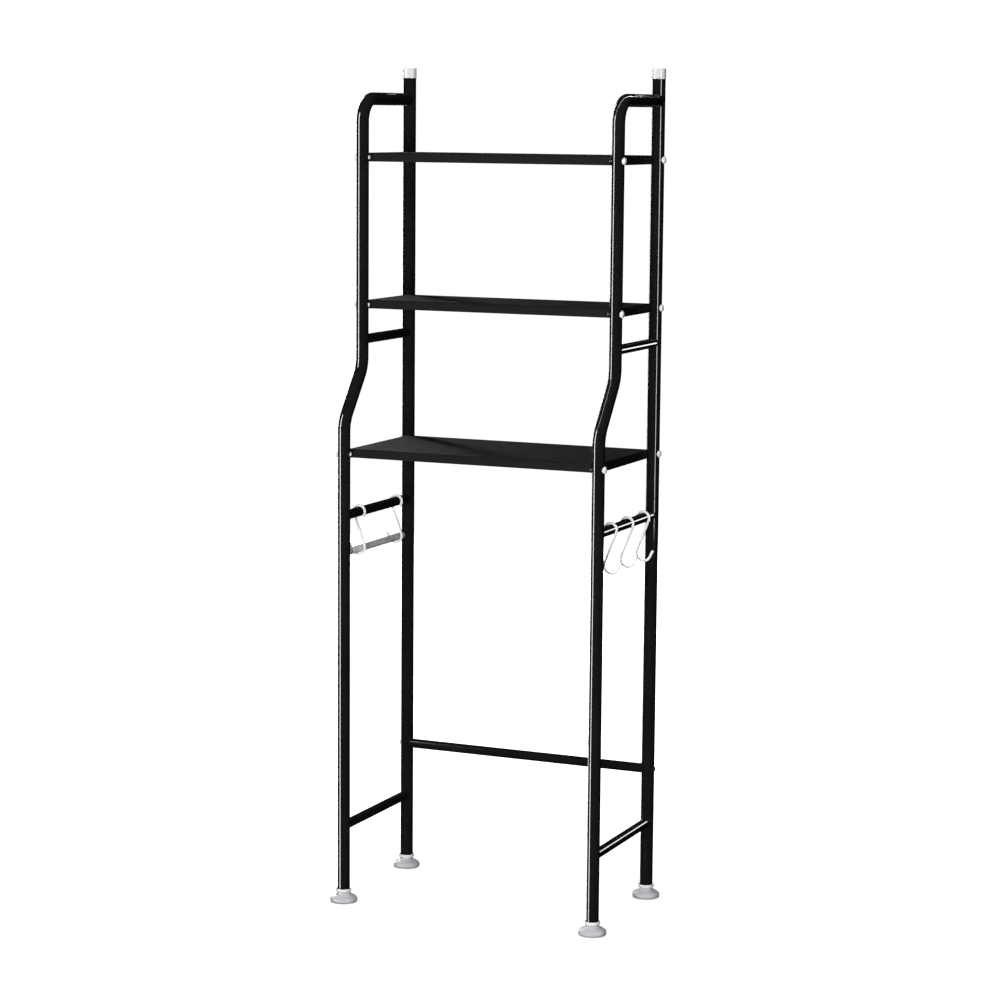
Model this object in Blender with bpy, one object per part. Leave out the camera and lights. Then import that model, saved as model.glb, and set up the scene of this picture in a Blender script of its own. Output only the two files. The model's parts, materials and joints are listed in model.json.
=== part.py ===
"""Free-standing storage rack that stands over a toilet.

Two side frames of bent tube, joined by three tray shelves and a low crossbar. Each side frame has a
front tube with a handle bend and a setback bend, a straight rear post and three rails. White domed
bolts hold the shelves, white caps close the posts, and each leg stands on a screw-in levelling foot.
A paper-roll holder hangs on the left bar and three S-hooks hang on the right bar.

Metres. +X is the rack's right, +Y its back and +Z up. The origin is on the floor, at the middle of
the footprint.
"""
import math

import bmesh
import bpy
from mathutils import Vector

GAP = 0.0003

# Posts, tubes and rails
HALF_WIDTH = 0.2625
FRONT_LOW_Y = -0.1425
FRONT_HIGH_Y = -0.065
REAR_Y = 0.1425
FRONT_RADIUS = 0.01225
REAR_RADIUS = 0.013
RAIL_RADIUS = 0.00925
TUBE_WALL = 0.001
TUBE_BOTTOM_Z = 0.0246
POST_TOP_Z = 1.600
HANDLE_Z = 1.5585
HANDLE_BEND = 0.044
SETBACK_LOW_Z = 0.9455
SETBACK_HIGH_Z = 1.0455
SETBACK_BEND = 0.060
UPPER_RAIL_Z = 1.098
HANGING_BAR_Z = 0.763
LOWER_RAIL_Z = 0.151
CROSSBAR_Z = 0.2585

# Shelves
SHELF_BOTTOMS = {"bottom": 0.875, "middle": 1.157, "top": 1.439}
SHELF_HALF_LENGTH = 0.2585
SHELF_HEIGHT = 0.017
SHELF_SHEET = 0.001
SHELF_EDGE_ROUND = 0.0018
SHELF_TO_FRONT_AXIS = 0.0129
SHELF_REAR_Y = 0.129
EAR_SHEET = 0.0012
EAR_HALF_HEIGHT = 0.0068
BOLT_ABOVE_SHELF_BOTTOM = 0.008

# Bolts, nuts and crossbar screws
HOLE_RADIUS = 0.0029
SHANK_RADIUS = 0.0025
HEAD_RADIUS = 0.007
HEAD_HEIGHT = 0.0042
HEAD_RIM = 0.0010
NUT_RADIUS = 0.0038
NUT_LENGTH = 0.0019
NUT_POCKET = 0.0012
SCREW_HEAD_RADIUS = 0.0050
SCREW_HEAD_HEIGHT = 0.0024
SCREW_HEAD_RIM = 0.0006
CROSSBAR_PLUG = 0.012

# Feet
FOOT_RADIUS = 0.027
STUD_RADIUS = 0.004
STUD_POCKET_RADIUS = 0.0044
STUD_BOTTOM_Z = 0.0083
STUD_TOP_Z = 0.052
CUP_TOP_Z = 0.0189
CUP_POCKET_Z = 0.0080
NECK_RADIUS = 0.0130
COLLAR_PROUD = 0.0030
PLUG_TOP_Z = 0.058

# Hooks and paper-roll holder
WIRE_RADIUS = 0.0026
HOOK_LOOP = RAIL_RADIUS + GAP + 0.00005 + WIRE_RADIUS
HOOK_CUP = 0.0144
HOOK_CUP_OUT = 0.0020
HOOK_CUP_DOWN = 0.069
HOOK_LOOP_START = math.radians(218)
HOOK_TIP_LEAN = math.radians(27)
HOOK_TIP_LENGTH = 0.0125
S_HOOK_Y = {"front": -0.076, "middle": 0.010, "rear": 0.095}
ROLL_HOOK_Y = {"front": -0.077, "rear": 0.088}
ROD_RADIUS = 0.007
ROD_FRONT_Y = -0.110
ROD_REAR_Y = 0.121
ROD_WALL = 0.0012

SIDES = {"left": -1, "right": 1}
TUBE_SEGMENTS = 20
RAIL_SEGMENTS = 16
FOOT_SEGMENTS = 16
COPE_SEGMENTS = 24
BOLT_SEGMENTS = 12
WIRE_SEGMENTS = 8
X_AXIS = Vector((1, 0, 0))
Y_AXIS = Vector((0, 1, 0))
Z_AXIS = Vector((0, 0, 1))


def clear_scene():
    for item in list(bpy.data.objects):
        bpy.data.objects.remove(item, do_unlink=True)


def make_material(name, colour, roughness, metallic=0.0):
    material = bpy.data.materials.new(name)
    material.use_nodes = True
    shader = material.node_tree.nodes["Principled BSDF"]
    shader.inputs["Base Color"].default_value = (*colour, 1.0)
    shader.inputs["Roughness"].default_value = roughness
    shader.inputs["Metallic"].default_value = metallic
    return material


def make_mesh(name, points, faces, sharp_angle=35):
    """A closed mesh whose faces all look outwards."""
    mesh = bpy.data.meshes.new(name)
    mesh.from_pydata([tuple(point) for point in points], [], faces)
    shell = bmesh.new()
    shell.from_mesh(mesh)
    bmesh.ops.recalc_face_normals(shell, faces=shell.faces)
    shell.to_mesh(mesh)
    shell.free()
    mesh.shade_smooth()
    mesh.set_sharp_from_angle(angle=math.radians(sharp_angle))
    return mesh


def place(name, mesh, material=None, at=(0, 0, 0)):
    item = bpy.data.objects.new(name, mesh)
    item.location = at
    bpy.context.scene.collection.objects.link(item)
    if material and not mesh.materials:
        mesh.materials.append(material)
    return item


def helper(name, mesh):
    """A shape used only by Boolean modifiers."""
    item = place(name, mesh)
    item.hide_render = True
    item.display_type = "WIRE"
    return item


def boolean(item, other, operation):
    modifier = item.modifiers.new(operation.lower(), "BOOLEAN")
    modifier.operation = operation
    modifier.solver = "EXACT"
    modifier.object = other


def joined(parts):
    """One point and face list from several."""
    points = []
    faces = []
    for part_points, part_faces in parts:
        start = len(points)
        points += part_points
        faces += [tuple(index + start for index in face) for face in part_faces]
    return points, faces


def bend_path(corners, radius, steps):
    """Points along a polyline whose inner corners are rounded."""
    corners = [Vector(corner) for corner in corners]
    path = [corners[0]]
    for before, corner, after, bend in zip(corners, corners[1:], corners[2:], radius):
        arriving = (corner - before).normalized()
        leaving = (after - corner).normalized()
        turn = arriving.angle(leaving)
        inward = (leaving - arriving).normalized()
        centre = corner + inward * bend / math.cos(turn / 2)
        side = arriving.cross(leaving).normalized()
        spoke = corner - arriving * bend * math.tan(turn / 2) - centre
        tangent = side.cross(spoke)
        count = max(3, round(steps * turn / (math.pi / 2)))
        for step in range(count + 1):
            angle = turn * step / count
            path.append(centre + spoke * math.cos(angle) + tangent * math.sin(angle))
    path.append(corners[-1])
    return path


def path_tangents(path):
    tangents = []
    for index, point in enumerate(path):
        before = path[max(index - 1, 0)]
        after = path[min(index + 1, len(path) - 1)]
        arriving = (point - before).normalized()
        leaving = (after - point).normalized()
        tangents.append((arriving + leaving).normalized())
    return tangents


def ring(centre, tangent, side, radius, segments):
    """Points round a flat path, where side is square to the path's plane."""
    other = tangent.cross(side).normalized()
    turns = [2 * math.pi * index / segments for index in range(segments)]
    return [centre + radius * (side * math.cos(turn) + other * math.sin(turn)) for turn in turns]


def band(first, second, segments, flip=False):
    faces = []
    for index in range(segments):
        after = (index + 1) % segments
        face = (first + index, first + after, second + after, second + index)
        faces.append(face[::-1] if flip else face)
    return faces


def hollow_tube(path, side, radius, wall, segments):
    """A tube open at both ends, swept along a flat path."""
    tangents = path_tangents(path)
    points = []
    for size in (radius, radius - wall):
        for point, tangent in zip(path, tangents):
            points += ring(point, tangent, side, size, segments)
    count = len(path)
    faces = []
    for index in range(count - 1):
        outer = index * segments
        inner = (count + index) * segments
        faces += band(outer, outer + segments, segments)
        faces += band(inner, inner + segments, segments, flip=True)
    faces += band(0, count * segments, segments, flip=True)
    faces += band((count - 1) * segments, (2 * count - 1) * segments, segments)
    return points, faces


def solid_rod(path, side, radius, segments):
    """A wire with rounded ends, swept along a flat path."""
    tangents = path_tangents(path)
    rings = [(point, tangent, radius) for point, tangent in zip(path, tangents)]
    for angle in (30, 60):
        turn = math.radians(angle)
        size = radius * math.cos(turn)
        ahead = radius * math.sin(turn)
        rings.insert(0, (path[0] - tangents[0] * ahead, tangents[0], size))
        rings.append((path[-1] + tangents[-1] * ahead, tangents[-1], size))
    points = []
    for centre, tangent, size in rings:
        points += ring(centre, tangent, side, size, segments)
    faces = []
    for index in range(len(rings) - 1):
        faces += band(index * segments, (index + 1) * segments, segments)
    first = len(points)
    last = first + 1
    points.append(path[0] - tangents[0] * radius)
    points.append(path[-1] + tangents[-1] * radius)
    end = (len(rings) - 1) * segments
    for index in range(segments):
        after = (index + 1) % segments
        faces.append((first, after, index))
        faces.append((last, end + index, end + after))
    return points, faces


def revolved(profile, segments, axis, across, saddle_radius=None):
    """A turned solid from (radius, distance along the axis) points.

    A profile that starts and ends on the axis is a plain solid, and any other is a closed ring. A
    point whose distance is None lies on a cylinder of saddle_radius that runs along Z.
    """
    other = axis.cross(across).normalized()
    points = []
    starts = []
    for radius, distance in profile:
        starts.append(len(points))
        if radius == 0:
            points.append(axis * distance)
            continue
        for index in range(segments):
            turn = 2 * math.pi * index / segments
            spoke = (across * math.cos(turn) + other * math.sin(turn)) * radius
            along = distance
            if along is None:
                along = math.sqrt(saddle_radius ** 2 - spoke.y ** 2)
            points.append(axis * along + spoke)
    pairs = list(zip(range(len(profile)), range(1, len(profile))))
    if profile[0][0] != 0:
        pairs.append((len(profile) - 1, 0))
    faces = []
    for first, second in pairs:
        for index in range(segments):
            after = (index + 1) % segments
            if profile[first][0] == 0:
                faces.append((starts[first], starts[second] + index, starts[second] + after))
            elif profile[second][0] == 0:
                faces.append((starts[first] + after, starts[first] + index, starts[second]))
            else:
                faces.append((starts[first] + index, starts[second] + index,
                              starts[second] + after, starts[first] + after))
    return points, faces


def cylinder(centre, axis, across, radius, half_length, segments):
    profile = [(0, -half_length), (radius, -half_length), (radius, half_length), (0, half_length)]
    points, faces = revolved(profile, segments, axis, across)
    return [point + Vector(centre) for point in points], faces


def prism(outline, low_x, high_x):
    """A plate between two X planes, from an outline of (y, z) points."""
    count = len(outline)
    points = [Vector((x, y, z)) for x in (low_x, high_x) for y, z in outline]
    faces = [tuple(range(count))[::-1], tuple(range(count, 2 * count))]
    faces += [(index, (index + 1) % count, count + (index + 1) % count, count + index)
              for index in range(count)]
    return points, faces


def bore_cutter(places, half_length=0.03):
    """Holes along X through the given points."""
    return [cylinder(centre, X_AXIS, Y_AXIS, HOLE_RADIUS, half_length, BOLT_SEGMENTS)
            for centre in places]


def cope_cutter(x, y, z, radius):
    """The room a coped end leaves for the upright it meets."""
    clearance = (radius + GAP) / math.cos(math.pi / COPE_SEGMENTS)
    return cylinder((x, y, z), Z_AXIS, X_AXIS, clearance, 0.03, COPE_SEGMENTS)


def front_y(shelf):
    return FRONT_LOW_Y if shelf == "bottom" else FRONT_HIGH_Y


def bolt_z(shelf):
    return SHELF_BOTTOMS[shelf] + BOLT_ABOVE_SHELF_BOTTOM


def build_front_tubes(material):
    for side, sign in SIDES.items():
        x = sign * HALF_WIDTH
        corners = [(x, FRONT_LOW_Y, TUBE_BOTTOM_Z), (x, FRONT_LOW_Y, SETBACK_LOW_Z),
                   (x, FRONT_HIGH_Y, SETBACK_HIGH_Z), (x, FRONT_HIGH_Y, HANDLE_Z), (x, REAR_Y, HANDLE_Z)]
        path = bend_path(corners, [SETBACK_BEND, SETBACK_BEND, HANDLE_BEND], 10)
        pipe = hollow_tube(path, X_AXIS, FRONT_RADIUS, TUBE_WALL, TUBE_SEGMENTS)
        mesh = make_mesh(f"front_tube_{side}", *pipe)
        tube = place(f"front_tube_{side}", mesh, material)
        holes = bore_cutter([(x, front_y(shelf), bolt_z(shelf)) for shelf in SHELF_BOTTOMS])
        cope = cope_cutter(x, REAR_Y, HANDLE_Z, REAR_RADIUS)
        cutter = helper(f"cut_front_tube_{side}", make_mesh("cut_front_tube", *joined(holes + [cope])))
        boolean(tube, cutter, "DIFFERENCE")


def build_rear_posts(material):
    for side, sign in SIDES.items():
        x = sign * HALF_WIDTH
        path = [Vector((x, REAR_Y, TUBE_BOTTOM_Z)), Vector((x, REAR_Y, POST_TOP_Z))]
        pipe = hollow_tube(path, X_AXIS, REAR_RADIUS, TUBE_WALL, TUBE_SEGMENTS)
        mesh = make_mesh(f"rear_post_{side}", *pipe)
        post = place(f"rear_post_{side}", mesh, material)
        heights = [bolt_z(shelf) for shelf in SHELF_BOTTOMS] + [CROSSBAR_Z]
        holes = bore_cutter([(x, REAR_Y, z) for z in heights])
        cutter = helper(f"cut_rear_post_{side}", make_mesh("cut_rear_post", *joined(holes)))
        boolean(post, cutter, "DIFFERENCE")


def build_side_rails(material):
    rails = {"upper_side_rail": (FRONT_HIGH_Y, UPPER_RAIL_Z),
             "hanging_bar": (FRONT_LOW_Y, HANGING_BAR_Z),
             "lower_side_rail": (FRONT_LOW_Y, LOWER_RAIL_Z)}
    for kind, (start_y, z) in rails.items():
        for side, sign in SIDES.items():
            x = sign * HALF_WIDTH
            path = [Vector((x, start_y, z)), Vector((x, REAR_Y, z))]
            pipe = hollow_tube(path, X_AXIS, RAIL_RADIUS, TUBE_WALL, RAIL_SEGMENTS)
            mesh = make_mesh(f"{kind}_{side}", *pipe)
            rail = place(f"{kind}_{side}", mesh, material)
            copes = [cope_cutter(x, start_y, z, FRONT_RADIUS), cope_cutter(x, REAR_Y, z, REAR_RADIUS)]
            cutter = helper(f"cut_{kind}_{side}", make_mesh(f"cut_{kind}", *joined(copes)))
            boolean(rail, cutter, "DIFFERENCE")


def build_crossbar(material):
    """The low rear tube, with a bored plug in each end for its screw."""
    end = HALF_WIDTH
    plug = HALF_WIDTH - REAR_RADIUS - CROSSBAR_PLUG
    bore = RAIL_RADIUS - TUBE_WALL
    profile = [(HOLE_RADIUS, -end), (RAIL_RADIUS, -end), (RAIL_RADIUS, end), (HOLE_RADIUS, end),
               (HOLE_RADIUS, plug), (bore, plug), (bore, -plug), (HOLE_RADIUS, -plug)]
    points, faces = revolved(profile, RAIL_SEGMENTS, X_AXIS, Y_AXIS)
    middle = Vector((0, REAR_Y, CROSSBAR_Z))
    mesh = make_mesh("rear_crossbar", [point + middle for point in points], faces)
    bar = place("rear_crossbar", mesh, material)
    copes = [cope_cutter(sign * HALF_WIDTH, REAR_Y, CROSSBAR_Z, REAR_RADIUS) for sign in SIDES.values()]
    boolean(bar, helper("cut_crossbar", make_mesh("cut_crossbar", *joined(copes))), "DIFFERENCE")


def tray_mesh(name, start_y, bottom):
    """A flat tray turned down on all four edges, open below."""
    shell = bmesh.new()
    corners = [(-SHELF_HALF_LENGTH, start_y), (SHELF_HALF_LENGTH, start_y),
               (SHELF_HALF_LENGTH, SHELF_REAR_Y), (-SHELF_HALF_LENGTH, SHELF_REAR_Y)]
    inset = [(1, 1), (-1, 1), (-1, -1), (1, -1)]
    top = bottom + SHELF_HEIGHT
    outer_low = [shell.verts.new((x, y, bottom)) for x, y in corners]
    outer_high = [shell.verts.new((x, y, top)) for x, y in corners]
    inner = [(x + across * SHELF_SHEET, y + along * SHELF_SHEET)
             for (x, y), (across, along) in zip(corners, inset)]
    inner_low = [shell.verts.new((x, y, bottom)) for x, y in inner]
    inner_high = [shell.verts.new((x, y, top - SHELF_SHEET)) for x, y in inner]
    shell.faces.new(outer_high)
    shell.faces.new(inner_high[::-1])
    rounded = []
    for index in range(4):
        after = (index + 1) % 4
        shell.faces.new((outer_low[index], outer_low[after], outer_high[after], outer_high[index]))
        shell.faces.new((inner_low[after], inner_low[index], inner_high[index], inner_high[after]))
        shell.faces.new((outer_low[after], outer_low[index], inner_low[index], inner_low[after]))
        rounded.append(shell.edges.get((outer_high[index], outer_high[after])))
        rounded.append(shell.edges.get((outer_low[index], outer_high[index])))
    bmesh.ops.bevel(shell, geom=rounded, offset=SHELF_EDGE_ROUND, segments=2, profile=0.5,
                    affect="EDGES")
    bmesh.ops.recalc_face_normals(shell, faces=shell.faces)
    mesh = bpy.data.meshes.new(name)
    shell.to_mesh(mesh)
    shell.free()
    mesh.shade_smooth()
    mesh.set_sharp_from_angle(angle=math.radians(35))
    return mesh


def ear(sign, axis_y, root_y, upright_radius, bottom):
    """The bolt tab that reaches past an upright, on its inner side."""
    z = bottom + BOLT_ABOVE_SHELF_BOTTOM
    facing = math.copysign(1, axis_y - root_y)
    outline = [(root_y, z - EAR_HALF_HEIGHT)]
    for step in range(9):
        turn = math.pi * (step / 8 - 0.5)
        outline.append((axis_y + facing * EAR_HALF_HEIGHT * math.cos(turn),
                        z + EAR_HALF_HEIGHT * math.sin(turn)))
    outline.append((root_y, z + EAR_HALF_HEIGHT))
    outer = sign * (HALF_WIDTH - upright_radius - GAP)
    return prism(outline, outer - sign * EAR_SHEET, outer)


def build_shelves(material):
    for shelf, bottom in SHELF_BOTTOMS.items():
        upright_y = front_y(shelf)
        start_y = upright_y + SHELF_TO_FRONT_AXIS
        mesh = tray_mesh(f"shelf_{shelf}", start_y, bottom)
        tray = place(f"shelf_{shelf}", mesh, material)
        ears = []
        places = []
        for sign in SIDES.values():
            ears.append(ear(sign, upright_y, start_y + SHELF_SHEET / 2, FRONT_RADIUS, bottom))
            ears.append(ear(sign, REAR_Y, SHELF_REAR_Y - SHELF_SHEET / 2, REAR_RADIUS, bottom))
            places += [(sign * HALF_WIDTH, y, bolt_z(shelf)) for y in (upright_y, REAR_Y)]
        tabs = helper(f"ears_{shelf}", make_mesh(f"ears_{shelf}", *joined(ears)))
        holes = make_mesh(f"cut_ears_{shelf}", *joined(bore_cutter(places, half_length=0.02)))
        boolean(tray, tabs, "UNION")
        boolean(tray, helper(f"cut_ears_{shelf}", holes), "DIFFERENCE")


def bolt_mesh(name, sign, upright_radius, head, reach):
    """A domed bolt along X whose head is saddled to its upright, about the upright's axis."""
    radius, height, rim = head
    seat = upright_radius + GAP
    profile = [(0, seat + height)]
    for angle in (70, 45, 20):
        turn = math.radians(angle)
        profile.append((radius * math.cos(turn), seat + rim + (height - rim) * math.sin(turn)))
    profile += [(radius, seat + rim), (radius, None), ((radius + SHANK_RADIUS) / 2, None),
                (SHANK_RADIUS, None), (SHANK_RADIUS, -reach), (0, -reach)]
    points, faces = revolved(profile, BOLT_SEGMENTS, X_AXIS * sign, Y_AXIS, seat)
    return make_mesh(name, points, faces)


def nut_mesh(name, sign, start):
    """A domed blind nut on the bolt's inner end."""
    end = start + NUT_LENGTH
    pocket = start + NUT_POCKET
    dome = 0.0011
    profile = [(0, pocket), (HOLE_RADIUS, pocket), (HOLE_RADIUS, start), (NUT_RADIUS, start)]
    for angle in (0, 35, 65):
        turn = math.radians(angle)
        profile.append((NUT_RADIUS * math.cos(turn), end - dome + dome * math.sin(turn)))
    profile.append((0, end))
    points, faces = revolved(profile, BOLT_SEGMENTS, X_AXIS * -sign, Y_AXIS)
    return make_mesh(name, points, faces)


def build_shelf_bolts(material):
    for side, sign in SIDES.items():
        for row, radius in (("front", FRONT_RADIUS), ("rear", REAR_RADIUS)):
            nut_start = radius + 2 * GAP + EAR_SHEET
            reach = nut_start + NUT_POCKET - GAP
            head = (HEAD_RADIUS, HEAD_HEIGHT, HEAD_RIM)
            bolt = bolt_mesh(f"shelf_bolt_{row}_{side}", sign, radius, head, reach)
            nut = nut_mesh(f"shelf_nut_{row}_{side}", sign, nut_start)
            for shelf in SHELF_BOTTOMS:
                y = front_y(shelf) if row == "front" else REAR_Y
                at = (sign * HALF_WIDTH, y, bolt_z(shelf))
                place(f"shelf_bolt_{shelf}_{row}_{side}", bolt, material, at)
                place(f"shelf_nut_{shelf}_{row}_{side}", nut, material, at)


def build_crossbar_screws(material):
    head = (SCREW_HEAD_RADIUS, SCREW_HEAD_HEIGHT, SCREW_HEAD_RIM)
    reach = REAR_RADIUS + CROSSBAR_PLUG - 2 * GAP
    for side, sign in SIDES.items():
        mesh = bolt_mesh(f"crossbar_screw_{side}", sign, REAR_RADIUS, head, reach)
        place(f"crossbar_screw_{side}", mesh, material, (sign * HALF_WIDTH, REAR_Y, CROSSBAR_Z))


def build_post_caps(material):
    spigot = REAR_RADIUS - TUBE_WALL - 0.0004
    outer = REAR_RADIUS + 0.0006
    base = GAP
    top = 0.020
    profile = [(0, top), (outer - 0.0012, top), (outer - 0.0003, top - 0.0004), (outer, top - 0.0014),
               (outer, base), (spigot, base), (spigot, -0.015), (spigot - 0.0016, -0.015),
               (spigot - 0.0016, 0.006), (0, 0.006)]
    mesh = make_mesh("post_cap", *revolved(profile, TUBE_SEGMENTS, Z_AXIS, X_AXIS))
    for side, sign in SIDES.items():
        place(f"post_cap_{side}", mesh, material, (sign * HALF_WIDTH, REAR_Y, POST_TOP_Z))


def plug_mesh(name, upright_radius):
    """The leg's insert: a dished collar under the tube and a bored spigot inside it."""
    spigot = upright_radius - TUBE_WALL - 0.0004
    seat = TUBE_BOTTOM_Z - GAP
    low = CUP_TOP_Z + GAP
    rim = upright_radius + COLLAR_PROUD
    profile = [(STUD_POCKET_RADIUS, low), (NECK_RADIUS, low), (rim - 0.0008, 0.0205),
               (rim, 0.0224), (rim, 0.0246), (rim - 0.0008, 0.0261), (rim - 0.0018, 0.0261),
               (upright_radius + 0.0004, seat), (spigot, seat), (spigot, PLUG_TOP_Z),
               (STUD_POCKET_RADIUS, PLUG_TOP_Z)]
    return make_mesh(name, *revolved(profile, FOOT_SEGMENTS, Z_AXIS, X_AXIS))


def cup_mesh():
    """The flared foot, with a pocket for the stud."""
    profile = [(0, 0), (0.0238, 0), (0.0262, 0.0016), (FOOT_RADIUS, 0.0045), (0.0263, 0.0076),
               (0.0240, 0.0100), (0.0207, 0.0120), (0.0168, 0.0140), (0.0143, 0.0158),
               (NECK_RADIUS + 0.0003, 0.0172), (NECK_RADIUS, CUP_TOP_Z), (STUD_POCKET_RADIUS, CUP_TOP_Z),
               (STUD_POCKET_RADIUS, CUP_POCKET_Z), (0, CUP_POCKET_Z)]
    return make_mesh("foot_cup", *revolved(profile, FOOT_SEGMENTS, Z_AXIS, X_AXIS))


def stud_mesh():
    chamfer = 0.0008
    profile = [(0, STUD_BOTTOM_Z), (STUD_RADIUS, STUD_BOTTOM_Z), (STUD_RADIUS, STUD_TOP_Z - chamfer),
               (STUD_RADIUS - chamfer, STUD_TOP_Z), (0, STUD_TOP_Z)]
    return make_mesh("foot_stud", *revolved(profile, BOLT_SEGMENTS, Z_AXIS, X_AXIS))


def build_feet(collar_material, cup_material, stud_material):
    cup = cup_mesh()
    stud = stud_mesh()
    rows = {"front": (FRONT_LOW_Y, plug_mesh("foot_plug_front", FRONT_RADIUS)),
            "rear": (REAR_Y, plug_mesh("foot_plug_rear", REAR_RADIUS))}
    for row, (y, plug) in rows.items():
        for side, sign in SIDES.items():
            at = (sign * HALF_WIDTH, y, 0)
            place(f"foot_plug_{row}_{side}", plug, collar_material, at)
            place(f"foot_cup_{row}_{side}", cup, cup_material, at)
            place(f"foot_stud_{row}_{side}", stud, stud_material, at)


def hook_path(sign):
    """An S in the XZ plane about the bar's axis: a loop over the bar, a slanted shank and a cup."""
    cup = Vector((HOOK_CUP_OUT, -HOOK_CUP_DOWN))
    lean = math.asin((HOOK_LOOP + HOOK_CUP) / cup.length) - math.atan2(cup.x, -cup.y)
    path = []
    turns = 14
    for step in range(turns + 1):
        angle = HOOK_LOOP_START + (-lean - HOOK_LOOP_START) * step / turns
        path.append((HOOK_LOOP * math.cos(angle), HOOK_LOOP * math.sin(angle)))
    start = math.pi - lean
    end = 2 * math.pi - HOOK_TIP_LEAN
    turns = 10
    for step in range(turns + 1):
        angle = start + (end - start) * step / turns
        path.append((cup.x + HOOK_CUP * math.cos(angle), cup.y + HOOK_CUP * math.sin(angle)))
    path.append((path[-1][0] + HOOK_TIP_LENGTH * math.sin(HOOK_TIP_LEAN),
                 path[-1][1] + HOOK_TIP_LENGTH * math.cos(HOOK_TIP_LEAN)))
    return [Vector((sign * out, 0, up)) for out, up in path]


def build_hooks(wire_material, rod_material):
    meshes = {}
    for side, sign in SIDES.items():
        wire = solid_rod(hook_path(sign), Y_AXIS, WIRE_RADIUS, WIRE_SEGMENTS)
        meshes[side] = make_mesh(f"hook_{side}", *wire)
    for name, y in S_HOOK_Y.items():
        place(f"s_hook_{name}", meshes["right"], wire_material, (HALF_WIDTH, y, HANGING_BAR_Z))
    for name, y in ROLL_HOOK_Y.items():
        place(f"roll_hook_{name}", meshes["left"], wire_material, (-HALF_WIDTH, y, HANGING_BAR_Z))
    half = (ROD_REAR_Y - ROD_FRONT_Y) / 2
    bore = ROD_RADIUS - ROD_WALL
    soft = 0.0004
    profile = [(bore, -half), (ROD_RADIUS - soft, -half), (ROD_RADIUS, soft - half),
               (ROD_RADIUS, half - soft), (ROD_RADIUS - soft, half), (bore, half)]
    mesh = make_mesh("roll_rod", *revolved(profile, RAIL_SEGMENTS, Y_AXIS, X_AXIS))
    drop = HOOK_CUP_DOWN + HOOK_CUP - WIRE_RADIUS - GAP - ROD_RADIUS
    at = (-HALF_WIDTH - HOOK_CUP_OUT, (ROD_REAR_Y + ROD_FRONT_Y) / 2, HANGING_BAR_Z - drop)
    place("roll_rod", mesh, rod_material, at)


def main():
    clear_scene()
    tube_black = make_material("tube_black", (0.010, 0.010, 0.011), 0.22)
    shelf_black = make_material("shelf_black", (0.014, 0.014, 0.015), 0.55)
    fitting_white = make_material("fitting_white", (0.88, 0.88, 0.87), 0.30)
    foot_white = make_material("foot_white", (0.66, 0.67, 0.69), 0.38)
    wire_white = make_material("wire_white", (0.90, 0.90, 0.89), 0.28)
    rod_white = make_material("rod_white", (0.82, 0.83, 0.84), 0.30)
    zinc = make_material("zinc", (0.62, 0.63, 0.65), 0.35, 1.0)
    build_front_tubes(tube_black)
    build_rear_posts(tube_black)
    build_side_rails(tube_black)
    build_crossbar(tube_black)
    build_shelves(shelf_black)
    build_shelf_bolts(fitting_white)
    build_crossbar_screws(shelf_black)
    build_post_caps(fitting_white)
    build_feet(fitting_white, foot_white, zinc)
    build_hooks(wire_white, rod_white)


main()
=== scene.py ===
"""Looks of the free-standing storage rack that stands over a toilet.

Every CAD node is replaced by a finely modelled piece in the same place: bent gloss-black tubes with
weld beads, matte trays with rolled edges and bolt tabs, white domed bolts and nuts, caps, levelling
feet with threaded studs, plastic-dipped hooks and a paper-roll rod. Metres, in the frame's axes.
"""
import json
import math

import bmesh
import bpy
from mathutils import Matrix, Vector

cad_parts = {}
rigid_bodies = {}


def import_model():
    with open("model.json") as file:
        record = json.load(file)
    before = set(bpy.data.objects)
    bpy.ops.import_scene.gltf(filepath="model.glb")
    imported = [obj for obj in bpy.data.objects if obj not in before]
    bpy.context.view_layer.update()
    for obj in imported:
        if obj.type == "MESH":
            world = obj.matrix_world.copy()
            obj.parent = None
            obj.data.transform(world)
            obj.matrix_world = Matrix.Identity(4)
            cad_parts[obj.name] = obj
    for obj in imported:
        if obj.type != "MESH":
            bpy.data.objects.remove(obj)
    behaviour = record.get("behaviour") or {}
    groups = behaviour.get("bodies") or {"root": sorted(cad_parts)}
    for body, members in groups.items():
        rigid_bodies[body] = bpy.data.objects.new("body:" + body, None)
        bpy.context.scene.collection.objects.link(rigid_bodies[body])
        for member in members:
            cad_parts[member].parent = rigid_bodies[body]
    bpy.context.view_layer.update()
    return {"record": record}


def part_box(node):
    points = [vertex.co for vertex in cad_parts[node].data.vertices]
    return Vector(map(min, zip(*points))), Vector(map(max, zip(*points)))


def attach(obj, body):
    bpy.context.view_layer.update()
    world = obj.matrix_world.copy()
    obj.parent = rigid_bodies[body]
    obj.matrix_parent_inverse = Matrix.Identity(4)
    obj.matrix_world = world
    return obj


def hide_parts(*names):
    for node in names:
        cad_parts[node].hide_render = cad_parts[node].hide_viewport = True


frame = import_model()

SIDES = {"left": -1, "right": 1}
SHELVES = ("bottom", "middle", "top")
X_AXIS = Vector((1, 0, 0))
Y_AXIS = Vector((0, 1, 0))
Z_AXIS = Vector((0, 0, 1))


def middle(node):
    low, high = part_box(node)
    return (low + high) / 2


def half_size(node):
    low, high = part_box(node)
    return (high - low) / 2


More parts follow.
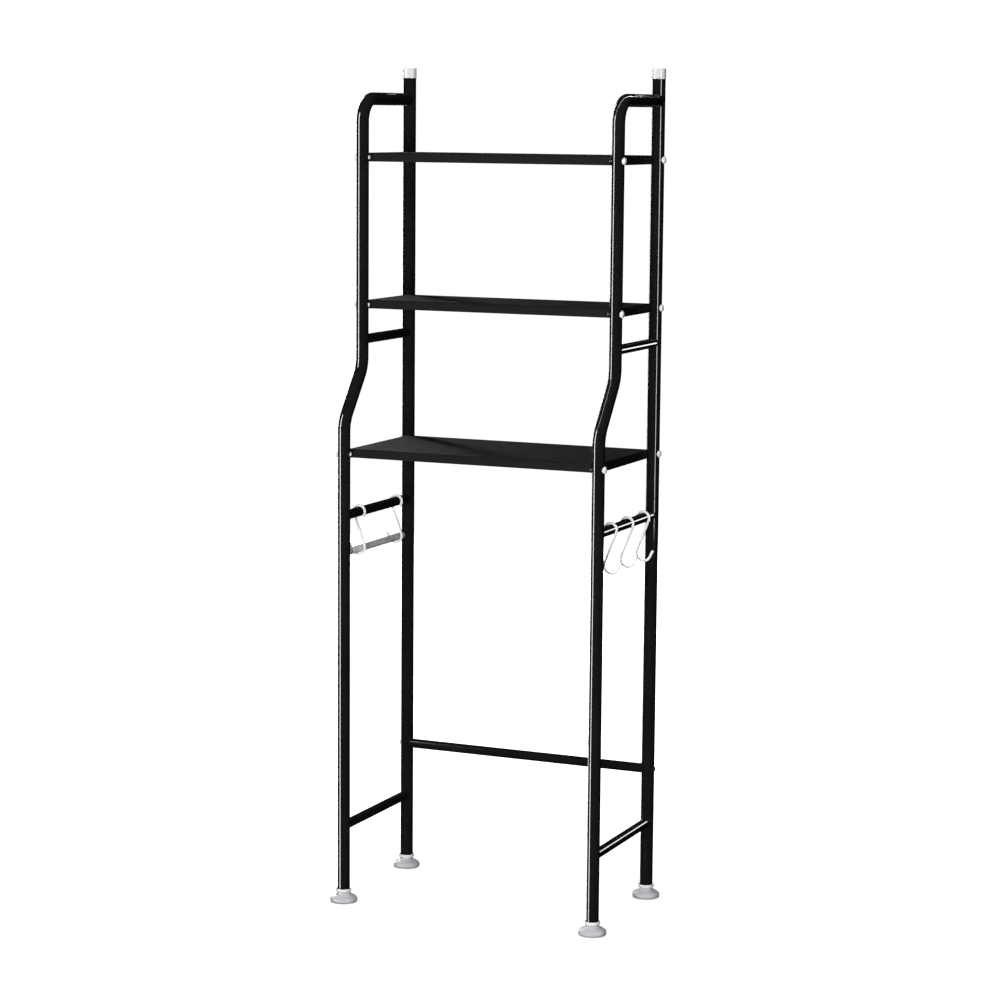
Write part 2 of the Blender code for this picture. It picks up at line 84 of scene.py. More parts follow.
# Places and sizes read from the frame
HALF_WIDTH = middle("rear_post_right").x
REAR_Y = middle("rear_post_right").y
FRONT_LOW_Y = middle("foot_cup_front_right").y
FRONT_HIGH_Y = middle("shelf_nut_top_front_right").y
FRONT_RADIUS = half_size("front_tube_right").x
REAR_RADIUS = half_size("rear_post_right").x
RAIL_RADIUS = half_size("hanging_bar_right").x
TUBE_BOTTOM_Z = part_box("rear_post_right")[0].z
POST_TOP_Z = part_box("rear_post_right")[1].z
HANDLE_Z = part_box("front_tube_right")[1].z - FRONT_RADIUS
HANGING_BAR_Z = middle("hanging_bar_right").z
CROSSBAR_Z = middle("rear_crossbar").z
ROD_MIDDLE = middle("roll_rod")
ROD_HALF_LENGTH = half_size("roll_rod").y
ROD_RADIUS = half_size("roll_rod").x
FOOT_RADIUS = half_size("foot_cup_front_right").x
CUP_TOP_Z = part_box("foot_cup_front_right")[1].z
STUD_BOTTOM_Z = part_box("foot_stud_front_right")[0].z
STUD_TOP_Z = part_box("foot_stud_front_right")[1].z
STUD_RADIUS = half_size("foot_stud_front_right").x
CAP_RADIUS = half_size("post_cap_right").x
CAP_TOP_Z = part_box("post_cap_right")[1].z

# The tubes' bends and walls
TUBE_WALL = 0.001
SETBACK_LOW_Z = 0.9455
SETBACK_HIGH_Z = 1.0455
SETBACK_BEND = 0.060
HANDLE_BEND = 0.044
WELD_BITE = 0.0002
WELD_RADIUS = 0.0012
WELD_RIPPLE = 0.10
WELD_STEP = 0.0019
WELD_POINTS_PER_RIPPLE = 6
WELD_SIDES = 10
BEND_STEPS = 26

# Shelves
SHELF_HALF_LENGTH = 0.2585
SHELF_TO_FRONT_AXIS = 0.0129
SHELF_REAR_Y = 0.129
SHELF_SHEET = 0.001
SHELF_EDGE_ROUND = 0.0018
SHELF_CORNER_ROUND = 0.0020
SHELF_LEAST_CORNER = 0.0002
SHELF_SHARP_ANGLE = math.radians(32)
EAR_SHEET = 0.0012
EAR_HALF_HEIGHT = 0.0068
EAR_GAP = 0.0003
BOLT_HOLE_RADIUS = 0.0029
BOLT_HOLE_REACH = 0.02

# Bolts, nuts and crossbar screws
HEAD_RADIUS = 0.0070
HEAD_HEIGHT = 0.0042
HEAD_RIM = 0.0010
SHANK_RADIUS = 0.0025
SHANK_END_GAP = 0.0010
NUT_RADIUS = 0.0038
NUT_DOME = 0.0011
NUT_CROWN = 0.0007
SCREW_HEAD_RADIUS = 0.0050
SCREW_HEAD_HEIGHT = 0.0024
SCREW_HEAD_RIM = 0.0006

# Post caps
CAP_EDGE_ROUND = 0.0014
CAP_CROWN_DROP = 0.0002
CAP_SPIGOT_GAP = 0.0004
CAP_SPIGOT_LENGTH = 0.015
CAP_SPIGOT_WALL = 0.0016
CAP_SPIGOT_CHAMFER = 0.0004
CAP_HOLLOW_TOP = 0.006

# Feet
PLUG_TOP_Z = 0.058
CUP_POCKET_Z = 0.0080
STUD_POCKET_RADIUS = 0.0044
NECK_RADIUS = 0.0130
COLLAR_PROUD = 0.0030
THREAD_PITCH = 0.00125
THREAD_DEPTH = 0.00055
THREAD_ROWS = 8
THREAD_SLOPE = 1.3
THREAD_CREST = 0.15
STUD_CHAMFER = 0.0008
STUD_CHAMFER_ROWS = 6

# Hooks
WIRE_RADIUS = 0.0026
HOOK_LOOP = RAIL_RADIUS + WIRE_RADIUS + 0.00035
HOOK_CUP = 0.0144
HOOK_CUP_OUT = 0.0020
HOOK_CUP_DOWN = 0.069
HOOK_LOOP_START = math.radians(218)
HOOK_TIP_LEAN = math.radians(27)
HOOK_TIP_LENGTH = 0.0125
HOOK_LOOP_STEPS = 48
HOOK_CUP_STEPS = 36
ROD_WALL = 0.0012

# Camera
CAMERA_AT = Vector((2.1388, -4.8782, 1.5316))
CAMERA_AZIMUTH = math.radians(23.649)
CAMERA_DOWN = math.radians(7.8966)
CAMERA_ROLL = math.radians(0.495)
CAMERA_LENS = 100.2
SENSOR = 36.0

# Floor, background and lights
# The floor glows by itself, a painted light: dimmer near the rack, as painted shade, and as bright as the
# background far off
FLOOR_REACH = 30
FLOOR_GLOW_FROM = 0.4
FLOOR_GLOW_TO = 1.6
FLOOR_GLOW_NEAR = 0.80
BACKGROUND_GLOW = 1.05
# Reach of the painted contact shadow that dims the floor's glow round the feet
CONTACT_SHADE = 0.014
LIGHT_AIM_Z = 0.8
POWER_PER_RADIANCE = 4  # of an area light, for each square metre

# The chain of lights over the right handle, and the bearings that it passes through
HOOP_RADIUS = 3.0
HOOP_WIDTH = 0.13
HOOP_RADIANCE = 15
HOOP_STEP = math.radians(16)
HOOP_OVERLAP = 1.02
HOOP_BEARINGS = ((-0.728, -0.673, 0.30), (-0.168, -0.192, 0.962),
                 (0.241, 0.687, 0.685), (0.165, 0.925, 0.335))

# Smoothness
TUBE_SEGMENTS = 56
RAIL_SEGMENTS = 44
WIRE_SEGMENTS = 20
FITTING_SEGMENTS = 44
FOOT_SEGMENTS = 72
STUD_SEGMENTS = 32
HOLE_SEGMENTS = 32

# The part of a noise's values that is spread over a mapped range
NOISE_LOW = 0.3
NOISE_HIGH = 0.7


# ---------------------------------------------------------------- mesh helpers

def make_mesh(name, points, faces, sharp_angle=35):
    mesh = bpy.data.meshes.new(name)
    mesh.from_pydata([tuple(point) for point in points], [], faces)
    shell = bmesh.new()
    shell.from_mesh(mesh)
    bmesh.ops.recalc_face_normals(shell, faces=shell.faces)
    shell.to_mesh(mesh)
    shell.free()
    mesh.shade_smooth()
    mesh.set_sharp_from_angle(angle=math.radians(sharp_angle))
    return mesh


def joined(*parts):
    points = []
    faces = []
    for part_points, part_faces in parts:
        start = len(points)
        points += part_points
        faces += [tuple(index + start for index in face) for face in part_faces]
    return points, faces


def moved(part, offset):
    points, faces = part
    return [point + offset for point in points], faces


def band(first, second, segments, flip=False):
    faces = []
    for index in range(segments):
        after = (index + 1) % segments
        face = (first + index, first + after, second + after, second + index)
        faces.append(face[::-1] if flip else face)
    return faces


def bend_path(corners, bends, steps):
    """Points along a polyline whose inner corners are rounded."""
    corners = [Vector(corner) for corner in corners]
    path = [corners[0]]
    for before, corner, after, bend in zip(corners, corners[1:], corners[2:], bends):
        arriving = (corner - before).normalized()
        leaving = (after - corner).normalized()
        turn = arriving.angle(leaving)
        centre = corner + (leaving - arriving).normalized() * bend / math.cos(turn / 2)
        spoke = corner - arriving * bend * math.tan(turn / 2) - centre
        tangent = arriving.cross(leaving).normalized().cross(spoke)
        count = max(4, round(steps * turn / (math.pi / 2)))
        for step in range(count + 1):
            angle = turn * step / count
            path.append(centre + spoke * math.cos(angle) + tangent * math.sin(angle))
    path.append(corners[-1])
    return path


def path_tangents(path):
    tangents = []
    for index, point in enumerate(path):
        before = path[max(index - 1, 0)]
        after = path[min(index + 1, len(path) - 1)]
        tangents.append(((point - before).normalized() + (after - point).normalized()).normalized())
    return tangents


def ring(centre, tangent, side, radius, segments):
    other = tangent.cross(side).normalized()
    turns = [2 * math.pi * index / segments for index in range(segments)]
    return [centre + radius * (side * math.cos(turn) + other * math.sin(turn)) for turn in turns]


def coped(points, centre, inward, side, upright_radius):
    """A tube's end ring, moved in until it lies on the round upright that it meets."""
    shaped = []
    for point in points:
        across = (point - centre).dot(side)
        depth = math.sqrt(upright_radius ** 2 - across ** 2) - WELD_BITE
        shaped.append(point + inward * depth)
    return shaped


def tube(path, side, radius, segments, meets_start=None, meets_end=None):
    """A hollow tube along a flat path, coped at an end that meets an upright of a given radius."""
    tangents = path_tangents(path)
    points = []
    for size in (radius, radius - TUBE_WALL):
        rings = [ring(point, tangent, side, size, segments) for point, tangent in zip(path, tangents)]
        if meets_start:
            rings[0] = coped(rings[0], path[0], tangents[0], side, meets_start)
        if meets_end:
            rings[-1] = coped(rings[-1], path[-1], -tangents[-1], side, meets_end)
        for points_round in rings:
            points += points_round
    count = len(path)
    faces = []
    for index in range(count - 1):
        outer = index * segments
        inner = (count + index) * segments
        faces += band(outer, outer + segments, segments)
        faces += band(inner, inner + segments, segments, flip=True)
    faces += band(0, count * segments, segments, flip=True)
    faces += band((count - 1) * segments, (2 * count - 1) * segments, segments)
    return points, faces


def weld_bead(centre, along, side, tube_radius, upright_radius):
    """A rippled bead round the saddle where a tube leaves an upright, along a given direction."""
    other = along.cross(side)
    ripples = round(2 * math.pi * tube_radius / WELD_STEP)
    count = ripples * WELD_POINTS_PER_RIPPLE
    places = []
    lifts = []
    for index in range(count):
        turn = 2 * math.pi * index / count
        across = side * tube_radius * math.cos(turn)
        up = other * tube_radius * math.sin(turn)
        depth = along * math.sqrt(upright_radius ** 2 - (tube_radius * math.cos(turn)) ** 2)
        places.append(centre + across + up + depth)
        lifts.append(((across + up) / tube_radius + (across + depth) / upright_radius).normalized())
    points = []
    for index, (place, lift) in enumerate(zip(places, lifts)):
        forward = (places[(index + 1) % count] - places[index - 1]).normalized()
        lift = (lift - forward * lift.dot(forward)).normalized()
        beside = forward.cross(lift)
        phase = abs(math.sin(math.pi * ripples * index / count))
        size = WELD_RADIUS * (1 - WELD_RIPPLE + 2 * WELD_RIPPLE * phase)
        for step in range(WELD_SIDES):
            turn = 2 * math.pi * step / WELD_SIDES
            points.append(place + size * (lift * math.cos(turn) + beside * math.sin(turn)))
    faces = []
    for index in range(count):
        faces += band(index * WELD_SIDES, ((index + 1) % count) * WELD_SIDES, WELD_SIDES)
    return points, faces


def wire(path, side, radius, segments):
    """A round wire along a flat path, with rounded ends."""
    tangents = path_tangents(path)
    rings = [(point, tangent, radius) for point, tangent in zip(path, tangents)]
    for angle in (15, 30, 45, 60, 75):
        turn = math.radians(angle)
        size = radius * math.cos(turn)
        ahead = radius * math.sin(turn)
        rings.insert(0, (path[0] - tangents[0] * ahead, tangents[0], size))
        rings.append((path[-1] + tangents[-1] * ahead, tangents[-1], size))
    points = []
    for centre, tangent, size in rings:
        points += ring(centre, tangent, side, size, segments)
    faces = []
    for index in range(len(rings) - 1):
        faces += band(index * segments, (index + 1) * segments, segments)
    first = len(points)
    last = first + 1
    points.append(path[0] - tangents[0] * radius)
    points.append(path[-1] + tangents[-1] * radius)
    end = (len(rings) - 1) * segments
    for index in range(segments):
        after = (index + 1) % segments
        faces.append((first, after, index))
        faces.append((last, end + index, end + after))
    return points, faces


def revolved(profile, segments, axis, across, saddle_radius=None):
    """A turned solid from (radius, distance along the axis) points.

    A point whose distance is None lies on a cylinder of saddle_radius that runs along Z.
    """
    other = axis.cross(across).normalized()
    points = []
    starts = []
    for radius, distance in profile:
        starts.append(len(points))
        if radius == 0:
            points.append(axis * distance)
            continue
        for index in range(segments):
            turn = 2 * math.pi * index / segments
            spoke = (across * math.cos(turn) + other * math.sin(turn)) * radius
            along = distance
            if along is None:
                along = math.sqrt(saddle_radius ** 2 - spoke.y ** 2)
            points.append(axis * along + spoke)
    pairs = list(zip(range(len(profile)), range(1, len(profile))))
    if profile[0][0] != 0:
        pairs.append((len(profile) - 1, 0))
    faces = []
    for first, second in pairs:
        for index in range(segments):
            after = (index + 1) % segments
            if profile[first][0] == 0:
                faces.append((starts[first], starts[second] + index, starts[second] + after))
            elif profile[second][0] == 0:
                faces.append((starts[first] + after, starts[first] + index, starts[second]))
            else:
                faces.append((starts[first] + index, starts[second] + index,
                              starts[second] + after, starts[first] + after))
    return points, faces


def arc(centre, size, start, end, steps):
    """Profile points on an ellipse, by angle in degrees."""
    turns = [math.radians(start + (end - start) * step / steps) for step in range(steps + 1)]
    return [(centre[0] + size[0] * math.cos(turn), centre[1] + size[1] * math.sin(turn))
            for turn in turns]


def flowing(points, steps):
    """A smooth curve through profile points."""
    padded = [points[0], *points, points[-1]]
    curve = []
    for before, start, end, after in zip(padded, padded[1:], padded[2:], padded[3:]):
        for step in range(steps):
            part = step / steps
            weights = (-0.5 * part ** 3 + part ** 2 - 0.5 * part,
                       1.5 * part ** 3 - 2.5 * part ** 2 + 1,
                       -1.5 * part ** 3 + 2 * part ** 2 + 0.5 * part,
                       0.5 * part ** 3 - 0.5 * part ** 2)
            corners = (before, start, end, after)
            curve.append(tuple(sum(weight * corner[axis] for weight, corner in zip(weights, corners))
                               for axis in (0, 1)))
    curve.append(points[-1])
    return curve


# ------------------------------------------------------------------- materials

def link(tree, source, target):
    tree.links.new(source, target)


def noise_between(tree, scale, detail, low, high, stretch=None):
    """A noise value mapped between two numbers."""
    place = tree.nodes.new("ShaderNodeTexCoord")
    source = place.outputs["Object"]
    if stretch:
        mapping = tree.nodes.new("ShaderNodeMapping")
        mapping.inputs["Scale"].default_value = stretch
        link(tree, source, mapping.inputs["Vector"])
        source = mapping.outputs["Vector"]
    noise = tree.nodes.new("ShaderNodeTexNoise")
    noise.inputs["Scale"].default_value = scale
    noise.inputs["Detail"].default_value = detail
    link(tree, source, noise.inputs["Vector"])
    span = tree.nodes.new("ShaderNodeMapRange")
    span.inputs["From Min"].default_value = NOISE_LOW
    span.inputs["From Max"].default_value = NOISE_HIGH
    span.inputs["To Min"].default_value = low
    span.inputs["To Max"].default_value = high
    link(tree, noise.outputs["Fac"], span.inputs["Value"])
    return span.outputs["Result"]


def colour_between(tree, first, second, amount):
    mix = tree.nodes.new("ShaderNodeMix")
    mix.data_type = "RGBA"
    mix.inputs[6].default_value = (*first, 1)
    mix.inputs[7].default_value = (*second, 1)
    link(tree, amount, mix.inputs[0])
    return mix.outputs[2]


def bumped(tree, height, distance, normal=None):
    bump = tree.nodes.new("ShaderNodeBump")
    bump.inputs["Strength"].default_value = 1.0
    bump.inputs["Distance"].default_value = distance
    link(tree, height, bump.inputs["Height"])
    if normal:
        link(tree, normal, bump.inputs["Normal"])
    return bump.outputs["Normal"]


def surface(name, colours, colour_scale, roughness, roughness_scale, grains):
    """A material with mottled colour, uneven roughness and layers of (scale, depth) grain."""
    material = bpy.data.materials.new(name)
    material.use_nodes = True
    tree = material.node_tree
    shader = tree.nodes["Principled BSDF"]
    mottle = noise_between(tree, colour_scale, 4, 0, 1)
    link(tree, colour_between(tree, *colours, mottle), shader.inputs["Base Color"])
    rough = noise_between(tree, roughness_scale, 5, *roughness)
    link(tree, rough, shader.inputs["Roughness"])
    normal = None
    for scale, depth in grains:
        normal = bumped(tree, noise_between(tree, scale, 2, 0, 1), depth, normal)
    link(tree, normal, shader.inputs["Normal"])
    return material, shader


def worn_edges(material, shader, colour, start, end):
    """Thinner, lighter coating along convex edges."""
    tree = material.node_tree
    shape = tree.nodes.new("ShaderNodeNewGeometry")
    edge = tree.nodes.new("ShaderNodeMapRange")
    edge.inputs["From Min"].default_value = start
    edge.inputs["From Max"].default_value = end
    link(tree, shape.outputs["Pointiness"], edge.inputs["Value"])
    mix = tree.nodes.new("ShaderNodeMix")
    mix.data_type = "RGBA"
    mix.inputs[7].default_value = (*colour, 1)
    old = shader.inputs["Base Color"].links[0].from_socket
    link(tree, edge.outputs["Result"], mix.inputs[0])
    link(tree, old, mix.inputs[6])
    link(tree, mix.outputs[2], shader.inputs["Base Color"])


def translucent(shader, weight, radius):
    """Light that enters the plastic and leaves it again close by, by channel."""
    shader.inputs["Subsurface Weight"].default_value = weight
    shader.inputs["Subsurface Radius"].default_value = radius


def tube_black():
    """Gloss powder coat with a faint orange peel."""
    return surface("tube_black_gloss", [(0.0070, 0.0070, 0.0074), (0.0105, 0.0105, 0.0110)], 14,
                   (0.08, 0.12), 60, [(700, 0.000001), (90, 0.000003)])[0]


def shelf_black():
    """Fine-textured matte powder coat."""
    material, shader = surface("shelf_black_matte",
                               [(0.0078, 0.0078, 0.0081), (0.0114, 0.0114, 0.0117)], 9,
                               (0.50, 0.62), 35, [(2200, 0.000022), (160, 0.00002)])
    shader.inputs["Specular IOR Level"].default_value = 0.35
    worn_edges(material, shader, (0.016, 0.016, 0.017), 0.53, 0.60)
    return material


def screw_black():
    """Blackened steel with a fine dull grain."""
    return surface("screw_black_matte", [(0.012, 0.012, 0.013), (0.020, 0.020, 0.021)], 300,
                   (0.38, 0.50), 500, [(3000, 0.00001)])[0]


def fitting_white():
    """Moulded white plastic with a fine spark-eroded skin."""
    material, shader = surface("fitting_white_plastic", [(0.84, 0.84, 0.83), (0.90, 0.90, 0.89)], 120,
                               (0.26, 0.36), 300, [(3500, 0.000006), (240, 0.000015)])
    translucent(shader, 0.10, (0.0012, 0.0011, 0.0010))
    return material


def foot_white():
    """Greyish translucent soft plastic."""
    material, shader = surface("foot_white_plastic", [(0.52, 0.53, 0.55), (0.60, 0.61, 0.63)], 60,
                               (0.30, 0.42), 200, [(2600, 0.000008), (150, 0.00003)])
    translucent(shader, 0.35, (0.004, 0.004, 0.0045))
    return material


def cap_white():
    """The same plastic as the other fittings, its colour darkened as painted shade."""
    material, shader = surface("cap_white_plastic", [(0.68, 0.68, 0.68), (0.75, 0.75, 0.75)], 90,
                               (0.30, 0.40), 260, [(3200, 0.000006), (200, 0.000015)])
    translucent(shader, 0.15, (0.0016, 0.0015, 0.0014))
    return material


def wire_white():
    """Plastic-dipped wire, slightly uneven along its length."""
    material, shader = surface("wire_white_coating", [(0.86, 0.86, 0.85), (0.92, 0.92, 0.91)], 90,
                               (0.22, 0.32), 220, [(1800, 0.000006), (130, 0.00005)])
    shader.inputs["Coat Weight"].default_value = 0.3
    shader.inputs["Coat Roughness"].default_value = 0.12
    return material


def rod_white():
    """Milky extruded plastic with faint drawing lines along the rod."""
    material, shader = surface("rod_white_plastic", [(0.78, 0.79, 0.80), (0.85, 0.86, 0.87)], 70,
                               (0.25, 0.35), 250, [(1500, 0.000006)])
    tree = material.node_tree
    lines = noise_between(tree, 1400, 2, 0, 1, stretch=(1, 0.01, 1))
    old = shader.inputs["Normal"].links[0].from_socket
    link(tree, bumped(tree, lines, 0.00001, old), shader.inputs["Normal"])
    translucent(shader, 0.25, (0.003, 0.003, 0.0032))
    return material


def zinc():
    """Zinc-plated steel with a patchy, faintly yellow sheen."""
    material, shader = surface("zinc_plated_steel", [(0.58, 0.59, 0.61), (0.68, 0.68, 0.66)], 400,
                               (0.24, 0.40), 700, [(2500, 0.000006)])
    shader.inputs["Metallic"].default_value = 1.0
    return material


MATERIALS = {make.__name__: make() for make in (tube_black, shelf_black, screw_black, fitting_white,
                                                cap_white, foot_white, wire_white, rod_white, zinc)}

BODY_OF = {node: body for body, nodes in frame["record"]["behaviour"]["bodies"].items() for node in nodes}
SLOT_OF = {part["node"]: part["material_slot"] for part in frame["record"]["subparts"]}


def finish_node(node, mesh, at=(0, 0, 0)):
    """The visible piece that stands for a CAD node."""
    piece = bpy.data.objects.new(f"{node}_finished", mesh)
    piece.location = at
    bpy.context.scene.collection.objects.link(piece)
    if not mesh.materials:
        mesh.materials.append(MATERIALS[SLOT_OF[node]])
    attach(piece, BODY_OF[node])
    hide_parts(node)
    return piece


# ---------------------------------------------------------------------- pieces

def finish_front_tubes():
    for side, sign in SIDES.items():
        x = sign * HALF_WIDTH
        corners = [(x, FRONT_LOW_Y, TUBE_BOTTOM_Z), (x, FRONT_LOW_Y, SETBACK_LOW_Z),
                   (x, FRONT_HIGH_Y, SETBACK_HIGH_Z), (x, FRONT_HIGH_Y, HANDLE_Z), (x, REAR_Y, HANDLE_Z)]
        path = bend_path(corners, [SETBACK_BEND, SETBACK_BEND, HANDLE_BEND], BEND_STEPS)
        pipe = tube(path, X_AXIS, FRONT_RADIUS, TUBE_SEGMENTS, meets_end=REAR_RADIUS)
        bead = weld_bead(path[-1], -Y_AXIS, X_AXIS, FRONT_RADIUS, REAR_RADIUS)
        node = f"front_tube_{side}"
        finish_node(node, make_mesh(node, *joined(pipe, bead)))


def finish_rear_posts():
    for side, sign in SIDES.items():
        x = sign * HALF_WIDTH
        path = [Vector((x, REAR_Y, TUBE_BOTTOM_Z)), Vector((x, REAR_Y, POST_TOP_Z))]
        node = f"rear_post_{side}"
        finish_node(node, make_mesh(node, *tube(path, X_AXIS, REAR_RADIUS, TUBE_SEGMENTS)))


def finish_side_rails():
    fronts = {"upper_side_rail": FRONT_HIGH_Y, "hanging_bar": FRONT_LOW_Y, "lower_side_rail": FRONT_LOW_Y}
    for kind, front in fronts.items():
        for side in SIDES:
            node = f"{kind}_{side}"
            centre = middle(node)
            start = Vector((centre.x, front, centre.z))
            end = Vector((centre.x, REAR_Y, centre.z))
            pipe = tube([start, end], X_AXIS, RAIL_RADIUS, RAIL_SEGMENTS, FRONT_RADIUS, REAR_RADIUS)
            beads = [weld_bead(start, Y_AXIS, X_AXIS, RAIL_RADIUS, FRONT_RADIUS),
                     weld_bead(end, -Y_AXIS, X_AXIS, RAIL_RADIUS, REAR_RADIUS)]
            finish_node(node, make_mesh(node, *joined(pipe, *beads)))


def finish_crossbar():
    ends = [Vector((sign * HALF_WIDTH, REAR_Y, CROSSBAR_Z)) for sign in SIDES.values()]
    pipe = tube(ends, Y_AXIS, RAIL_RADIUS, RAIL_SEGMENTS, REAR_RADIUS, REAR_RADIUS)
    finish_node("rear_crossbar", make_mesh("rear_crossbar", *pipe))


def tray_loop(start_y, inset, corner, z, steps=6):
    """A rectangle with rounded corners, set in from the tray's outline."""
    corner = max(corner, SHELF_LEAST_CORNER)
    reach = SHELF_HALF_LENGTH - inset - corner
    low = start_y + inset + corner
    high = SHELF_REAR_Y - inset - corner
    centres = [(reach, high, 0), (-reach, high, 90), (-reach, low, 180), (reach, low, 270)]
    loop = []
    for x, y, start in centres:
        for step in range(steps + 1):
            turn = math.radians(start + 90 * step / steps)
            loop.append(Vector((x + corner * math.cos(turn), y + corner * math.sin(turn), z)))
    return loop


def tray(start_y, bottom, top):
    """A tray of folded sheet: rolled top edges, flanges turned down, open below."""
    lip = SHELF_SHEET / 2
    inner_round = SHELF_EDGE_ROUND - SHELF_SHEET
    steps, inner_steps = 6, 4
    profile = []
    for step in range(steps + 1):
        turn = math.pi / 2 * step / steps
        profile.append((SHELF_EDGE_ROUND * (1 - math.sin(turn)),
                        top - SHELF_EDGE_ROUND * (1 - math.cos(turn))))
    for step in range(steps + 1):
        turn = math.pi * step / steps
        profile.append((lip * (1 - math.cos(turn)), bottom + lip * (1 - math.sin(turn))))
    for step in range(inner_steps + 1):
        turn = math.pi / 2 * step / inner_steps
        profile.append((SHELF_SHEET + inner_round * (1 - math.cos(turn)),
                        top - SHELF_SHEET - inner_round * (1 - math.sin(turn))))
    loops = [tray_loop(start_y, inset, SHELF_CORNER_ROUND - inset, z) for inset, z in profile]
    count = len(loops[0])
    points = [point for loop in loops for point in loop]
    faces = [tuple(range(count))]
    for index in range(len(loops) - 1):
        faces += band(index * count, (index + 1) * count, count, flip=True)
    faces.append(tuple(range((len(loops) - 1) * count, len(loops) * count))[::-1])
    return points, faces


def ear(sign, axis_y, root_y, upright_radius, z):
    """The bolt tab that reaches past an upright, with softened edges."""
    facing = math.copysign(1, axis_y - root_y)
    soft = 0.0002
    outer = HALF_WIDTH - upright_radius - EAR_GAP
    stations = [(outer, soft), (outer - soft, 0), (outer - EAR_SHEET + soft, 0), (outer - EAR_SHEET, soft)]
    steps = 20
    points = []
    for x, inset in stations:
        size = EAR_HALF_HEIGHT - inset
        points.append(Vector((sign * x, root_y, z - size)))
        for step in range(steps + 1):
            turn = math.pi * (step / steps - 0.5)
            points.append(Vector((sign * x, axis_y + facing * size * math.cos(turn),
                                  z + size * math.sin(turn))))
        points.append(Vector((sign * x, root_y, z + size)))
    count = steps + 3
    faces = [tuple(range(count)), tuple(range(3 * count, 4 * count))[::-1]]
    for index in range(3):
        faces += band(index * count, (index + 1) * count, count)
    return points, faces


def combined(mesh, *steps):
    """The mesh after exact Boolean steps of (operation, points, faces)."""
    item = bpy.data.objects.new("combining", mesh)
    bpy.context.scene.collection.objects.link(item)
    helpers = []
    for operation, points, faces in steps:
        other = bpy.data.objects.new("combining_with", make_mesh("combining_with", points, faces))
        bpy.context.scene.collection.objects.link(other)
        helpers.append(other)
        modifier = item.modifiers.new(operation, "BOOLEAN")
        modifier.operation = operation
        modifier.solver = "EXACT"
        modifier.object = other
    bpy.context.view_layer.update()
    result = bpy.data.meshes.new_from_object(item.evaluated_get(bpy.context.evaluated_depsgraph_get()))
    for other in (item, *helpers):
        bpy.data.objects.remove(other, do_unlink=True)
    result.shade_smooth()
    result.set_sharp_from_angle(angle=SHELF_SHARP_ANGLE)
    return result


def finish_shelves():
    hole = [(0, -BOLT_HOLE_REACH), (BOLT_HOLE_RADIUS, -BOLT_HOLE_REACH),
            (BOLT_HOLE_RADIUS, BOLT_HOLE_REACH), (0, BOLT_HOLE_REACH)]
    for shelf in SHELVES:
        node = f"shelf_{shelf}"
        low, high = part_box(node)
        bolt = middle(f"shelf_nut_{shelf}_front_right")
        start_y = bolt.y + SHELF_TO_FRONT_AXIS
        ears = []
        holes = []
        for sign in SIDES.values():
            ears.append(ear(sign, bolt.y, start_y + SHELF_SHEET / 2, FRONT_RADIUS, bolt.z))
            ears.append(ear(sign, REAR_Y, SHELF_REAR_Y - SHELF_SHEET / 2, REAR_RADIUS, bolt.z))
            for y in (bolt.y, REAR_Y):
                holes.append(moved(revolved(hole, HOLE_SEGMENTS, X_AXIS, Y_AXIS),
                                   Vector((sign * HALF_WIDTH, y, bolt.z))))
        sheet = make_mesh(node, *tray(start_y, low.z, high.z))
        finish_node(node, combined(sheet, ("UNION", *joined(*ears)), ("DIFFERENCE", *joined(*holes))))


def bolt_mesh(name, sign, upright_radius, head, reach):
    """A domed head saddled to its upright, on a plain shank, about the upright's axis."""
    radius, height, rim = head
    seat = upright_radius
    soft = 0.0003
    dome = arc((0, seat + rim), (radius - soft, height - rim), 90, 12, 12)
    dome[0] = (0, seat + height)
    edge = arc((radius - soft, seat + rim), (soft, soft), 60, -30, 4)
    under = [(radius, None), ((radius + SHANK_RADIUS) / 2, None), (SHANK_RADIUS, None)]
    profile = dome + edge + under + [(SHANK_RADIUS, -reach), (0, -reach)]
    return make_mesh(name, *revolved(profile, FITTING_SEGMENTS, X_AXIS * sign, Y_AXIS, seat), 42)


def nut_mesh(name, sign, start, end):
    """A domed blind nut with a softened foot."""
    pocket = end - NUT_CROWN
    soft = 0.0003
    foot = arc((NUT_RADIUS - soft, start + soft), (soft, soft), -90, 0, 4)
    dome = arc((0, end - NUT_DOME), (NUT_RADIUS, NUT_DOME), 0, 90, 10)
    dome[-1] = (0, end)
    profile = [(0, pocket), (BOLT_HOLE_RADIUS, pocket), (BOLT_HOLE_RADIUS, start), *foot, *dome]
    return make_mesh(name, *revolved(profile, FITTING_SEGMENTS, X_AXIS * -sign, Y_AXIS))


def finish_bolts():
    head = (HEAD_RADIUS, HEAD_HEIGHT, HEAD_RIM)
    for side, sign in SIDES.items():
        for row, radius in (("front", FRONT_RADIUS), ("rear", REAR_RADIUS)):
            low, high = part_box(f"shelf_nut_top_{row}_{side}")
            near, far = sorted((HALF_WIDTH - abs(low.x), HALF_WIDTH - abs(high.x)))
            bolt = bolt_mesh(f"shelf_bolt_{row}_{side}", sign, radius, head, far - SHANK_END_GAP)
            nut = nut_mesh(f"shelf_nut_{row}_{side}", sign, near - EAR_GAP, far)
            for shelf in SHELVES:
                nut_at = middle(f"shelf_nut_{shelf}_{row}_{side}")
                at = (sign * HALF_WIDTH, nut_at.y, nut_at.z)
                finish_node(f"shelf_bolt_{shelf}_{row}_{side}", bolt, at)
                finish_node(f"shelf_nut_{shelf}_{row}_{side}", nut, at)


def finish_crossbar_screws():
    head = (SCREW_HEAD_RADIUS, SCREW_HEAD_HEIGHT, SCREW_HEAD_RIM)
    for side, sign in SIDES.items():
        node = f"crossbar_screw_{side}"
        low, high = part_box(node)
        reach = HALF_WIDTH - min(abs(low.x), abs(high.x))
        mesh = bolt_mesh(node, sign, REAR_RADIUS, head, reach)
        finish_node(node, mesh, (sign * HALF_WIDTH, REAR_Y, CROSSBAR_Z))


